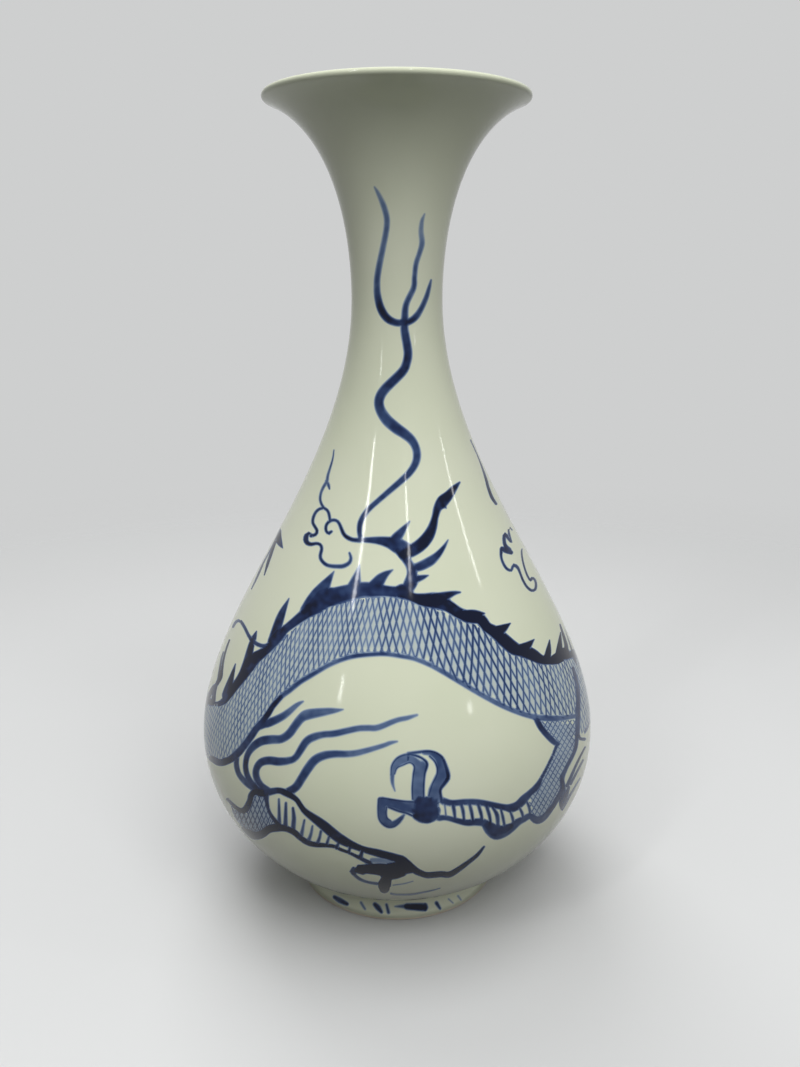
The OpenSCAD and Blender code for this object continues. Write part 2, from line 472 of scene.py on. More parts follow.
CLOUDS = [
    (0.8, [
        (334, 450, 1), (332.5, 460, 1.5), (328, 475, 2.5), (327, 481, 3), (323.5, 487, 2.8),
        (321, 493, 2.5), (320.2, 499, 2.5), (321.5, 504, 2.6), (324, 508, 2.8)]),
    (0.8, [(326.5, 481, 3), (328.5, 485, 3), (329.5, 489, 1.5)]),
    (0.85, [
        (324, 508, 2.5), (319.5, 509, 2.8), (316, 512, 2.8), (313.5, 517, 2.8), (313, 523, 2.8),
        (317, 530.5, 3), (315.5, 534.5, 3), (311, 536, 3)]),
    (0.88, [
        (311.5, 535, 3), (309, 533.3, 3.2), (306.7, 535.5, 4.5), (305.8, 539.5, 5), (307.5, 543, 4.5),
        (311.5, 544.3, 3.5), (316, 543.5, 3), (320, 544.5, 3), (321.8, 548.5, 3), (320.5, 558, 3.2),
        (327, 565, 3.5), (339, 566.5, 4), (345, 565.5, 4), (349.5, 562.5, 3.5), (351, 558, 3),
        (349.5, 553, 2)]),
    (0.85, [(323, 507.5, 2.8), (327, 510, 2.8), (329, 514, 2.8), (330, 520, 2.5)]),
    (0.85, [
        (331.5, 531.5, 2.5), (329, 533.5, 3), (326.3, 531, 2.8), (326, 526.5, 2.8), (328, 522.7, 2.8),
        (332, 520.3, 3), (336, 520.5, 3), (339.2, 523.5, 3), (343.5, 533.5, 3.5), (347.5, 537.5, 4),
        (353, 539.8, 4), (360, 540.3, 4.5)]),
    (0.9, [
        (470.5, 440, 1), (479.3, 460, 1.2), (485.3, 477, 2.4), (488, 487, 2.8), (491.6, 497, 3),
        (496, 503.8, 2.6)]),
    (0.86, [
        (512, 530, 1.2), (510, 527.5, 1.6), (508.5, 530, 1.8), (509.5, 536, 2), (511.5, 542.5, 1.8),
        (508, 538, 3), (505, 534, 3.4), (504, 538.5, 3.4), (505, 545, 3.6), (509, 550, 5)]),
    (0.88, [(502, 548.5, 4), (506, 550, 6.2), (511, 552.5, 4.2)]),
    (0.86, [
        (501.5, 549, 3.6), (501, 556, 2.5), (503, 563, 2.5), (506.5, 568.5, 2.7), (511, 570.5, 2.7),
        (512.5, 567, 2.6), (514, 565, 3.4), (517.5, 567.5, 3), (520, 573, 2.2), (523, 580.5, 2.2),
        (527, 587, 2.4), (531.5, 590.5, 2.7), (535, 589.5, 2.6), (536, 584.5, 2.4), (534.5, 579.5, 2.2),
        (532, 578, 2.6), (530.5, 580.5, 2.2), (527.5, 576, 1.9), (524.5, 568, 1.8), (522.5, 560, 1.7),
        (521.5, 552, 1.6), (522, 549, 1.2)]),
    (0.95, [
        (280.4, 529, 0.9), (275, 540.5, 1.2), (269.5, 551.5, 1.2), (263.6, 562.5, 1.6),
        (257.2, 577, 1.8), (251.5, 589, 0.9)]),
    (0.95, [(280.6, 530.5, 1.6), (279.4, 536, 4.2), (279.2, 541, 6), (280.8, 545, 4), (282.8, 548, 1)]),
    (0.95, [(275.6, 541.5, 2), (273.4, 547, 2.8), (268.3, 562, 2.8), (264.4, 575, 1)]),
]

CREST = [
    (0.85, [
        (352, 540, 4), (365, 540, 5), (378, 540.5, 7.5), (389, 542.5, 11), (398, 546, 15),
        (407, 551, 15)]),
    (0.85, [(391, 543, 8), (398, 536, 9), (409.5, 521.5, 1.2)]),
    (1.05, [
        (404, 554, 12), (413, 550, 12), (421, 544.5, 12), (428, 536.5, 11), (432.5, 527, 8.5),
        (435, 517.5, 6.5), (437.5, 508.5, 8), (442.5, 501.5, 11.5), (448.5, 495.5, 9), (454, 488.5, 6),
        (459.5, 482.5, 2)]),
    (0.9, [
        (411, 568, 7), (416, 567.5, 8), (422, 565.5, 9), (430.5, 561, 9), (437.5, 555, 6.5),
        (443.5, 547.5, 3.8), (448, 540, 1.2)]),
    (0.9, [
        (399, 551, 8), (405, 558, 8), (410, 566, 8), (412, 574, 10), (411, 582, 13), (406, 589, 11),
        (396, 591, 8)]),
    (0.88, [(410, 581, 9), (422, 577.5, 5), (428, 575.5, 1.5)]),
    (0.92, [(441, 503, 8), (446, 508, 1.5)]),
]

# The ridge, its spikes and the fins beside it
RIDGE = [
    ((1.05, 0.88), [
        (213, 703.5, 4), (218, 704, 5), (224, 701, 6.5), (230, 692.5, 8), (237, 684, 8), (244, 674, 10),
        (249, 665, 13), (254, 659, 12), (268, 649, 8), (274, 641, 11), (280, 634, 11), (287, 628, 8),
        (305, 614, 11), (315, 606, 16), (325, 598, 20), (335, 596, 17), (360, 590, 15), (373, 590, 14),
        (385, 591, 11), (396, 592, 11), (406, 592, 15)]),
    ((0.95, 1.25), [
        (402, 591, 14), (412, 597, 9), (424, 600, 13), (437, 601, 16), (448, 606, 12), (459, 613, 11),
        (470, 617, 12), (480, 619, 11), (487, 627, 10), (496, 633, 12), (512, 647, 13), (521, 651, 11),
        (531, 654, 12), (541, 659.5, 9), (550, 660.5, 8), (558, 658, 11), (565, 652, 9)]),
    (0.95, [(213.5, 701, 4), (214.5, 692, 3.5), (217.5, 681, 2.5)]),
    (0.97, [(226, 695, 8), (229, 686, 7), (235.5, 664, 1.2)]),
    (0.93, [(246, 668, 9), (251.5, 645, 6), (254, 638, 5), (256.5, 631.5, 1.5)]),
    (0.88, [(273, 641, 10), (281, 616, 7.5), (289, 598.5, 1.2)]),
    (0.86, [(306, 611, 12), (314, 600, 14), (322, 590, 13), (334, 571.5, 1.2)]),
    (0.82, [(354, 588, 14), (359.5, 565, 1)]),
    (0.86, [(376, 585, 13), (381, 578.5, 10), (386, 574, 6), (392.5, 570, 1.5)]),
    (0.95, [(436, 600, 14), (453, 593.5, 5), (460, 592.3, 2)]),
    (1.1, [(466, 616, 12), (475, 614, 8), (484, 613.5, 2)]),
    (1.15, [(497, 632, 12), (503, 628.5, 8), (510, 623.5, 1.5)]),
    (1.2, [(520, 650, 11), (527, 646, 8), (534, 639.5, 1.2)]),
    (1.2, [(547, 659, 7), (548.5, 650, 5), (549.5, 640, 1)]),
    (1.2, [(559, 655, 8), (560.5, 632.5, 1)]),
    (0.95, [(566, 655, 5), (566, 645, 3.5), (560, 624.5, 1.5)]),
    (0.8, [
        (233, 627, 2), (235.5, 622.5, 2.5), (238.5, 620.5, 3), (241, 621.5, 3), (245, 628, 3),
        (249, 636, 3.2), (253, 641, 4), (258, 644.5, 4), (264, 646, 4), (270, 644.5, 4)]),
    (0.95, [
        (229.5, 640, 1.5), (226, 650, 1.8), (223.5, 660, 2), (222, 670, 2.5), (220.5, 677, 4),
        (217, 684, 3.5)]),
    (0.95, [(223.5, 652, 1.2), (221.3, 660, 1.6), (218.5, 679, 2.5)]),
    (0.8, [(573, 668, 3), (576, 680, 4), (578, 695, 4.5), (577.5, 724, 5), (577.5, 736, 4)]),
]

# The body's edges: places along the top, and the stroke along the belly
BODY_TOP = [
    (209, 703), (215, 705), (222, 702), (235, 690), (246, 677), (258, 663), (270, 651), (283, 638),
    (300, 624), (320, 610), (340, 601), (365, 597), (395, 596), (415, 601), (440, 610), (460, 620),
    (480, 626), (495, 641), (508, 653), (530, 659), (550, 664), (566, 658), (574, 655)]
BELLY_LINE = [
    (211, 758, 5), (220, 762.5, 7), (230, 759.5, 7), (238, 753, 7.5), (244, 746, 7), (250, 738, 7),
    (256, 729, 7), (262, 722, 6), (268, 714, 6), (273, 706, 5.5), (281, 697, 5), (290, 690, 5),
    (300, 682, 5), (310, 676, 4.8), (320, 670, 4.6), (330, 664.5, 4.5), (342, 659.5, 4.5),
    (355, 656, 4.5), (370, 654.5, 4.2), (385, 654, 4.2), (400, 656, 4.2), (415, 659, 4.2),
    (430, 665, 4.5), (445, 673, 5), (460, 682, 5), (475, 691, 5), (490, 699.5, 5), (505, 707, 5),
    (520, 713, 5), (535, 717, 5.5), (550, 718.5, 6), (563, 718, 5), (576, 716, 4)]

TUFT = [
    ((0.9, 0.6), [
        (258, 727, 7), (264, 724, 8), (270, 722.5, 8), (284, 715.5, 7), (297, 705, 4.5),
        (303, 701.5, 2)]),
    ((0.95, 0.66), [
        (263, 793, 5), (255, 786.5, 5.5), (249, 779, 5.5), (246, 770, 5.2), (246, 761, 5.2),
        (248.5, 753, 6), (254, 746, 7.5), (262, 741, 8.5), (272, 739.5, 8.5), (281, 739, 8),
        (289, 734, 8), (295, 726, 8), (301, 718.5, 8.5), (308, 714.5, 10), (327, 711.5, 7),
        (336, 710.5, 4.5), (343, 709.5, 1.5)]),
    ((0.95, 0.52), [
        (268, 790, 6), (261, 785, 6), (256.5, 777, 6.5), (256.5, 769, 6.5), (261, 762.5, 7.5),
        (269, 760.5, 8), (279, 761.5, 8), (289, 760.5, 7), (296, 757, 6.5), (306, 742, 7.5),
        (314, 737, 7.5), (324, 734.5, 6.5), (335, 733.5, 6.5), (357, 728.7, 6), (368, 728, 6),
        (378, 727.5, 6), (396, 720.5, 5), (407, 718, 4.5), (417, 715, 2.5)]),
    ((0.92, 0.52), [
        (288, 792, 8), (296, 787, 8), (302, 778, 8), (308, 768.5, 8.5), (315, 760, 8.5),
        (324, 755.5, 8), (335, 754, 7), (347, 754, 6.5), (359, 752.5, 6), (382, 746, 4.5),
        (390, 743, 4), (397, 741.5, 2)]),
    (0.88, [
        (237.5, 755, 4), (236.5, 764, 5), (238.5, 773, 5), (243.5, 780, 5.5), (250.5, 786, 6),
        (265, 795, 6)]),
]

# The left leg and its claws, and with them a painted shade line along the crease above the foot join
LEFT_LEG_AND_JOIN_SHADE = [
    ((1, 1.15), [
        (227.5, 799, 2.5), (235.5, 807, 3.5), (241, 810.5, 5), (246, 809, 7), (250, 801, 6),
        (251.5, 795, 6), (256, 791.5, 7), (263, 793, 8), (278, 790.5, 6), (286, 793, 6.5),
        (296, 799, 5), (301, 806, 5), (306, 812, 6), (322, 824, 9), (340, 838.5, 9.5), (360, 848, 6),
        (380, 853.5, 7.5), (402, 859.5, 8)]),
    (0.95, [(266, 794, 6), (267, 803, 4), (269, 811, 3.5), (273, 818, 4), (279, 825, 5)]),
    (1, [
        (243, 828, 3), (249, 832.5, 6), (255, 835.5, 8), (262, 834, 8), (269, 829, 8), (277, 827.5, 8),
        (286, 828.5, 6), (294, 832, 6), (301, 838, 5.5), (308, 842.5, 5.5), (316, 844.5, 5),
        (333, 846, 3.5), (341, 849.5, 3.2), (350, 853, 3), (365, 860.5, 4), (370, 862.5, 4)]),
    (0.75, [(279, 799, 2), (279.5, 826, 4)]),
    (0.75, [(286, 803, 2.5), (285.5, 828, 4.5)]),
    (0.8, [(293, 808, 2.5), (294, 818, 4), (293, 831, 4.5)]),
    (0.75, [(304.5, 820, 2), (301, 838, 4)]),
    (0.75, [(312.5, 826, 2), (311, 834, 3), (308, 842, 3.5)]),
    (0.75, [(321, 831, 2.5), (319.5, 838, 3), (317, 844, 3.5)]),
    (0.8, [(329, 837, 2.5), (326.5, 845, 3)]),
    (0.85, [(339, 842, 2.5), (336.5, 848, 3)]),
    (0.85, [(350, 846, 2.5), (349, 853, 2.5)]),
    (0.9, [(362.5, 850, 3), (360.5, 857, 4)]),
    (1.2, [
        (359, 867, 5), (366, 868.5, 9), (376, 869, 11), (387, 870, 13), (397, 869, 15),
        (407, 866, 12)]),
    (1.25, [(384, 874, 8), (394, 874.5, 9), (403, 872, 8)]),
    (0.45, [(372, 860, 4.5), (380, 860.5, 5), (391, 862, 4)]),
    (0.9, [(353.5, 868.5, 4), (352.5, 871, 6), (354, 873, 5)]),
    (1.1, [(357, 870, 6), (363, 870, 9)]),
    (0.75, [(353, 873.5, 3), (360, 879, 3), (368, 882, 2.5), (377, 883.5, 3)]),
    (1.3, [(388, 875, 8), (384.5, 884.5, 13), (384.5, 888, 10)]),
    ((1.1, 0.85), [
        (404, 861, 8), (415, 870, 7), (422, 873.5, 6), (428, 875, 6), (441, 874, 6), (448, 874.5, 6),
        (455, 871.5, 5.5), (471, 860, 4), (478, 854, 3.5), (484, 846.5, 2)]),
    (1.1, [(398, 870, 10), (411, 870, 6)]),
    (0.45, [(393, 885, 1.2), (404, 883.5, 1.2), (413, 881, 1)]),
    # Painted shade: a grey line along the crease just above the foot join, laid down as a faint cobalt
    # stroke
    (0.6, [(391, 893.4, 2), (396.5, 894.3, 2), (412, 894, 2), (431, 890.5, 1.5), (440, 888, 1)]),
]

RIGHT_LEG = [
    (0.85, [(537, 720, 6), (542, 729, 6), (553, 741, 6), (558, 744, 4)]),
    (0.85, [
        (557, 745, 3.5), (552, 757, 3), (542, 777, 3.5), (536.5, 787, 6), (530, 793, 6), (524, 799, 8),
        (518, 805, 8), (511, 808, 8.5), (503, 807, 6), (480, 802.5, 6), (466, 802, 6), (452, 803, 6),
        (443, 801, 7)]),
    (0.8, [
        (577, 722, 4), (575.5, 747, 4), (566, 768, 4), (562, 778, 5), (562, 788, 5), (557, 799, 5),
        (545, 816, 6), (537, 820, 8), (530, 816, 6), (524, 819, 6), (518, 822, 7), (511, 828, 8),
        (503, 833, 9), (495, 835, 9), (489, 830, 9), (484, 823, 8), (475, 822, 7), (465, 822.5, 6),
        (447, 818, 5), (439, 818, 6)]),
    (0.92, [(420, 802, 12), (426, 804, 15), (433, 804, 12)]),
    (0.95, [(420, 811, 16), (427, 812, 23), (433, 811, 15)]),
    (0.95, [(416, 816, 7), (423, 819, 8), (433, 818.5, 6)]),
    (0.64, [(418, 800, 12), (418.5, 776, 11.5), (421, 766, 11)]),
    (0.64, [
        (418, 763.5, 7), (412.5, 759.5, 7), (406, 758.8, 8), (400, 761, 8.5), (395, 767, 6.5),
        (392.5, 774, 4.5), (392.5, 783, 3.2), (395, 791, 1.2)]),
    (0.88, [
        (412.8, 799, 2.2), (412.5, 788, 2.2), (413.5, 775, 2.2), (414.5, 766.5, 2.4), (410, 762.5, 1.8),
        (403, 765, 1.6), (397, 768, 1.6), (394.5, 774, 1.4)]),
    (0.88, [
        (423.5, 798, 2.2), (423.6, 785, 2.2), (424.6, 774, 2.4), (427, 764, 2.8), (423, 759, 2.4),
        (417, 756, 2.6), (410, 754.5, 3), (403, 755.5, 2.6), (396.5, 759, 2.4), (392, 766, 2.2),
        (391, 775, 1.6)]),
    (0.92, [(408.5, 754.5, 3.5), (408, 760, 2.5)]),
    (0.66, [(434.5, 798, 12), (434.5, 791, 12), (442, 774, 11)]),
    (0.66, [(442, 774, 11), (441.5, 765, 9.5), (437.5, 758, 6.5), (431, 753.5, 4.5), (424, 752.8, 4)]),
    ((0.95, 0.82), [
        (441.5, 800, 3), (440.2, 790, 3), (445, 782.5, 4), (448, 775.5, 4.5), (443.5, 760, 3),
        (438.5, 754.5, 2.6), (432, 751.8, 2.6), (424, 751.6, 3), (408, 753.5, 3)]),
    (0.82, [
        (428.8, 796, 2.2), (432.5, 784, 2.2), (436.6, 776, 2), (437.4, 768.5, 2), (434.8, 761.5, 2),
        (429.5, 756, 1.8)]),
    (0.72, [(413, 808, 11), (404, 807, 9.5), (394, 804, 8.5), (385, 802, 8)]),
    (0.72, [(382.5, 801, 8.5), (382, 809, 8.5), (382.5, 817, 8.5)]),
    (0.72, [
        (382.5, 817, 8.5), (386.5, 822.5, 8), (391.5, 824.3, 6.5), (396.5, 822.5, 6), (401, 818.5, 4.5),
        (404, 815, 2.5)]),
    (0.88, [
        (414, 802, 2.4), (404, 801.5, 2.4), (393, 800, 2.4), (385, 798.6, 2.4), (379.5, 798.4, 2.4)]),
    (0.86, [
        (378.6, 799, 2), (378.2, 809, 2), (379, 818, 2.2), (382.5, 823.5, 2.4), (388.5, 827, 2.2),
        (395, 826, 2), (400, 821, 1.8), (403.5, 816, 1.2)]),
    (0.86, [(412, 815.5, 2.2), (406, 813, 2.2), (398, 810.8, 2.2), (388.5, 807, 2.2)]),
    (0.86, [(386.5, 807, 2), (386, 813, 2), (387, 818, 2), (391, 821, 1.5)]),
    (0.95, [(488, 825, 9), (494, 830, 12), (503, 830, 9), (511, 826, 6)]),
    (0.72, [(444.5, 803, 1.8), (446, 816, 1.5)]),
    (0.85, [(452.5, 804, 3), (454, 810, 3.6), (455, 818, 2.2)]),
    (0.82, [(461, 804, 3), (463, 811, 3.4), (464, 820, 2.2)]),
    (0.82, [(469.5, 804, 3), (471.5, 812, 3.4), (473, 821, 2.2)]),
    (0.82, [(478, 804, 3), (480.5, 812, 3.4), (482.5, 821, 2.2)]),
    (0.8, [(486, 805, 3), (489, 814, 3.4), (491, 824, 2.2)]),
    (0.8, [(492, 807, 2), (497, 815, 4), (498, 828, 3)]),
    (0.75, [(500.5, 808, 2), (503, 818, 3), (505, 829, 2)]),
    (0.75, [(510, 811, 2), (512.5, 818, 3), (513.5, 825, 2)]),
    (0.75, [(519, 807, 2), (522, 813, 3), (523, 818, 2)]),
    (0.75, [(526, 800, 2), (529, 807, 3), (530, 814, 2)]),
    (0.85, [(561, 776, 3), (563, 784, 4), (563, 793, 5), (561, 803, 4), (561.5, 809, 2)]),
    (0.8, [(568.5, 787, 3), (566, 796, 3.5), (563, 805, 3)]),
    (0.85, [(585, 747, 1.6), (576.5, 764, 2.2), (567, 786, 3.5)]),
    (0.8, [(583, 760, 1.5), (570.5, 784, 2.4)]),
    (0.8, [(577.5, 733, 3), (580, 738.5, 3), (584.5, 739, 3)]),
    (0.7, [(580, 778, 1.2), (570, 795, 2), (565, 804, 2.5), (562, 810, 1.5)]),
]

FOOT_STROKES = [
    (0.95, [(334.5, 897, 3.5), (340, 900.5, 5), (347, 904, 3.5)]),
    (0.5, [(361, 902.5, 2.5), (365, 909, 2)]),
    (0.95, [(375, 904.5, 4), (378, 907.5, 5), (381.5, 912, 3)]),
    (0.8, [(386.5, 904.5, 2.2), (388.5, 912.5, 3)]),
    (0.6, [(395, 906.5, 1.2), (403, 906.3, 3.5), (408, 906.7, 6)]),
    (1, [(407, 906.5, 6), (424, 907.2, 7.8)]),
    (0.95, [(425, 905.2, 4.5), (425, 909.3, 4)]),
    (0.8, [(436.5, 903, 3.6), (440, 908.5, 2.6)]),
    (0.4, [(448.5, 899, 1.4), (453, 903, 1.2)]),
    (0.45, [(458, 896, 2), (461, 900, 1.5)]),
]


# Washes and hatching across the thighs, in pixels of the photograph

HATCH_PITCH = 4.1
HATCH_WIDTH = 1.2


def hatching(outline, slants, tone):
    """Straight lines across a closed outline, a set for each slant from upright, in degrees."""
    corners = np.array(outline, float)
    edges = np.roll(corners, -1, axis=0) - corners
    strokes = []
    for slant in np.radians(slants):
        along = np.array([math.sin(slant), math.cos(slant)])
        across = np.array([along[1], -along[0]])
        reach, climb = corners @ across, edges @ across
        for level in np.arange(reach.min() + HATCH_PITCH / 2, reach.max(), HATCH_PITCH):
            crossed = (reach - level) * (reach + climb - level) < 0
            share = (level - reach[crossed]) / climb[crossed]
            places = corners[crossed] + share[:, None] * edges[crossed]
            places = places[np.argsort(places @ along)]
            for a, b in zip(places[::2], places[1::2]):
                if np.linalg.norm(b - a) > HATCH_PITCH:
                    strokes.append((tone, [(*end, HATCH_WIDTH) for end in (a, (a + b) / 2, b)]))
    return strokes


RIGHT_WASH = [
    (0.22, [(545, 726, 5), (553, 728, 9), (563, 729, 11), (572, 729, 9)]),
    (0.22, [
        (564, 737, 18), (566.5, 746, 18), (563, 757, 20), (556.5, 768, 19), (551, 779, 19),
        (546.5, 790, 22), (542.5, 801, 23), (540, 811, 12)]),
]
LEFT_WASH = [
    (0.26, [(259, 800, 12), (260, 809, 18), (260, 818, 24)]),
    (0.26, [(234, 811, 4), (243, 819, 12), (254, 825.5, 16)]),
]
RIGHT_THIGH = hatching([
    (540, 722), (549, 735), (557, 744), (552, 755), (546, 767), (541, 778), (536, 787), (531, 795),
    (529, 806), (533, 816), (540, 819), (548, 813), (555, 803), (560, 792), (562, 777), (568, 764),
    (574, 754), (577, 741), (577, 720)], slants=(40, -28), tone=0.7)
LEFT_THIGH = hatching([
    (229, 803), (234, 809), (240, 813), (247, 811), (250, 803), (254, 796), (265, 796), (268, 806),
    (275, 820), (268, 827), (261, 833), (254, 835), (247, 832), (241, 825.5), (236, 818),
    (231.5, 811)], slants=(22, -22), tone=0.85)

# The body's edges that the photograph doesn't show, as (degrees, height)

NECK_TOP = [(-156, 131), (-147, 123), (-137, 111), (-125, 97), (-112, 86), (-98, 80), (-85, 80)]
NECK_BOTTOM = [
    (-156, 120), (-147, 108), (-137, 94), (-125, 78), (-112, 66), (-98, 60), (-85, 60), (-74, 62)]
TAIL_TOP = [(90, 93), (102, 88), (115, 85), (128, 84), (140, 85), (150, 88), (158, 92)]
TAIL_BOTTOM = [
    (63, 76), (72, 74.5), (90, 74), (102, 71), (115, 70.5), (128, 72.5), (140, 76.5), (150, 82.5),
    (158, 90)]

# Scales: two sets of lines that climb round the body, over a thin wash. Tables are (degrees, value)

SCALE_PITCHES = [
    (-180, 2.0), (-70, 1.6), (-40, 1.6), (-20, 1.9), (0, 2.3), (30, 2.5), (60, 2.2), (180, 2.2)]
SCALE_CLIMB = math.radians(0.31)
SCALE_MIDDLE = 110.0
SCALE_ROW = 1.3
SCALE_WIDTHS = [(-180, 0.6), (-60, 0.55), (-10, 0.62), (25, 0.85), (60, 0.7), (180, 0.6)]
SCALE_TONES = [(-180, 0.66), (-60, 0.66), (-10, 0.64), (25, 0.78), (60, 0.72), (180, 0.66)]
SCALE_JITTER = 0.15
JITTER_PACE = 12.9
JITTER_SHIFT = 7.1
LOAD_SPREAD = 0.1
LOAD_PACE = 5.3
LINE_REACH = 200
LEAST_ROWS = 3
BODY_WASH = 0.15
WASH_EDGE = 0.8


def body_edges(angle):
    """Heights of the body's top and bottom at an angle."""
    return np.interp(angle, *body_top), np.interp(angle, *body_bottom)


def in_body(angle, height, margin=0.0):
    """Whether places are on the body, and at least a margin above its bottom."""
    top, bottom = body_edges(angle)
    within = (angle >= body_top[0][0]) & (angle <= body_top[0][-1])
    return within & (height <= top) & (height >= bottom + margin)


def round_vase(table, angle):
    """A value from a table of (degrees, value), at an angle."""
    return np.interp(np.degrees(angle), *np.transpose(table))


line_angles = np.radians(np.arange(-LINE_REACH, LINE_REACH + 1))
line_numbers = np.cumsum(1 / round_vase(SCALE_PITCHES, line_angles))


def scale_jitter(number, sign):
    """A small shift of each line from its even place, as a share of the pitch."""
    return SCALE_JITTER * np.sin(JITTER_PACE * number + JITTER_SHIFT * sign)


def scale_lines():
    """Lines of (along the girth, up, width), kept where they cross the body."""
    strokes = []
    height = np.arange(body_bottom[1].min(), body_top[1].max(), SCALE_ROW)
    for sign in (1, -1):
        for number in range(int(line_numbers[0]) + 1, int(line_numbers[-1])):
            middle = np.interp(number + scale_jitter(number, sign), line_numbers, line_angles)
            angle = middle + sign * SCALE_CLIMB * (height - SCALE_MIDDLE)
            line = np.c_[np.degrees(angle) * MM_PER_DEGREE, height, round_vase(SCALE_WIDTHS, angle)]
            rows = np.flatnonzero(in_body(angle, height))
            for run in np.split(rows, np.flatnonzero(np.diff(rows) > 1) + 1):
                if len(run) >= LEAST_ROWS:
                    strokes.append((1.0, line[run]))
    return strokes


def scale_pigment(angle, height):
    """Pigment that the wash and the lines of the scales leave at places on the glaze."""
    angle = near_turn(angle, 0)
    radius = np.interp(height, coat[:, 1], coat[:, 0])
    steep = 1 / np.hypot(1, SCALE_CLIMB * radius)
    width, tone = round_vase(SCALE_WIDTHS, angle), round_vase(SCALE_TONES, angle)
    best = BODY_WASH
    for sign in (1, -1):
        start = angle - sign * SCALE_CLIMB * (height - SCALE_MIDDLE)
        line = np.interp(start, line_angles, line_numbers)
        number = np.round(line)
        pitch = np.radians(round_vase(SCALE_PITCHES, start))
        gap = np.abs(line - number - scale_jitter(number, sign)) * pitch * radius * steep
        load = tone + LOAD_SPREAD * np.sin(LOAD_PACE * number + sign)
        best = np.maximum(best, load * soft_step((width / 2 + SOFT_EDGE - gap) / (2 * SOFT_EDGE)))
    return np.where(in_body(angle, height), best, 0)


def glaze_wash(points):
    """Pigment of the thin wash under the scales, at points of the glaze."""
    angle = np.arctan2(points[:, 0], -points[:, 1])
    return np.where(in_body(angle, points[:, 2], WASH_EDGE), BODY_WASH, 0.0)


# Strokes on the side that the photograph doesn't show, in millimetres: (across, up, width)

def ring_line(radius, width, turns=12):
    """A round line about its middle."""
    return [(*(radius * unit(k * math.tau / turns)), width) for k in range(turns + 1)]


HEAD = [
    (0.92, [
        (9, 7, 2), (4, 10.5, 2.2), (-3, 12, 2.4), (-8, 11, 2.2), (-12, 8.5, 2), (-16, 8, 1.8),
        (-19, 9.5, 1.8), (-21.5, 8.5, 1.7), (-23, 6, 1.6), (-21.5, 4, 1.5), (-19.5, 4.8, 1.2),
        (-19.8, 6.2, 0.8)]),
    (0.9, [
        (-21, 3.8, 1.4), (-17, 3.2, 1.3), (-12, 2.6, 1.3), (-6, 1.2, 1.3), (0, 0, 1.4), (2, 2, 0.8)]),
    (0.9, [(0, -0.5, 1.4), (-5, -3.2, 1.6), (-11, -4, 1.6), (-15.5, -2.8, 1.5), (-17, -0.8, 1)]),
    (0.7, [(-4, -1, 1), (-10, -0.6, 1.1), (-15, 1.2, 0.7)]),
    (0.8, [(-15, 3, 1), (-15.3, 1, 0.5)]),
    (0.8, [(-10, 2.4, 1), (-10.4, 0.8, 0.5)]),
    (0.95, [(-6.5, 7.4, 1.8), (-5.7, 7.4, 1.8)]),
    (0.85, [
        (-8.8, 7.2, 0.7), (-7.4, 9, 0.8), (-4.8, 9, 0.8), (-3.2, 7.4, 0.8), (-5, 5.6, 0.7),
        (-7.4, 5.7, 0.7), (-8.8, 7.2, 0.7)]),
    (0.9, [(-9, 10, 1.6), (-7, 13.5, 1.4), (-3, 15.5, 0.5)]),
    (0.9, [(-4, 12, 1.6), (-1, 15.5, 1.4), (3, 17, 0.5)]),
    (0.95, [(2, 10.5, 2.6), (6, 14, 2.6), (11, 16, 2.2), (15, 19.5, 1.6), (18, 24, 0.6)]),
    (0.95, [(5, 9, 2), (10, 12, 2), (15, 13, 1.5), (20, 16.5, 0.5)]),
    (0.85, [(5, 6, 1.3), (9, 8.5, 1.8), (12, 8, 0.6)]),
    (0.85, [(-2, 3, 1), (0, 5, 1), (-1.5, 6.8, 1), (-3.5, 6, 0.8), (-3, 4.5, 0.6)]),
    (0.9, [(4, 3, 1.8), (9, 4.5, 2), (14, 3.5, 1.8), (19, 6, 1.3), (24, 6.5, 0.5)]),
    (0.9, [(3, -0.5, 1.8), (8, -1, 2), (13, -3, 1.8), (18, -1.5, 1.3), (23, -3, 0.5)]),
    (0.9, [(1, -3, 1.6), (5, -6, 1.8), (9, -9.5, 1.6), (14, -9.5, 1.2), (18, -12.5, 0.5)]),
    (0.85, [(-22, 7, 1), (-26, 10, 1), (-28, 15, 0.9), (-25, 19, 0.8), (-26, 24, 0.4)]),
    (0.85, [(-20, 3.4, 1), (-25, 1, 1), (-29, 3, 0.9), (-32, 0, 0.7), (-35, 2, 0.3)]),
    (0.85, [(-14, -3.6, 1.4), (-15, -7, 1.2), (-18, -10, 0.5)]),
    (0.85, [(-10, -4.2, 1.4), (-10, -8, 1.2), (-13, -12, 0.5)]),
    (0.85, [(-6, -3.6, 1.4), (-5, -8, 1.2), (-7.5, -12.5, 0.5)]),
]

PEARL = [
    (0.88, ring_line(4.6, 1)),
    (0.7, [(-2, 1, 0.7), (0, 2.2, 0.8), (1.8, 0.4, 0.8), (0.4, -1.2, 0.6)]),
    (0.9, [(4, 2, 1.4), (8, 4, 1.8), (11, 8, 1.5), (11, 13, 0.5)]),
    (0.9, [(3, 4, 1.4), (5, 8, 1.7), (5, 13, 1.4), (8, 18, 0.5)]),
    (0.85, [(0, 5, 1.3), (-1, 9, 1.3), (1.5, 14, 0.5)]),
    (0.85, [(4.5, -1, 1.3), (9, -1, 1.5), (14, 2, 0.5)]),
]

TAIL_FLAMES = [
    (0.92, [(-3, 1, 3), (4, 3, 2.8), (9, 7, 2.2), (13, 13, 0.6)]),
    (0.92, [(-3, 0, 2.6), (5, 0.5, 2.4), (12, 2, 2), (19, 6, 0.6)]),
    (0.92, [(-3, -1, 2.4), (4, -3, 2.2), (10, -4, 1.8), (16, -2.5, 0.6)]),
    (0.9, [(-2, 2, 2.4), (1, 6, 2), (3, 11, 0.6)]),
]


# The ridge and belly line along the back, and the dashes round the back of the foot ring

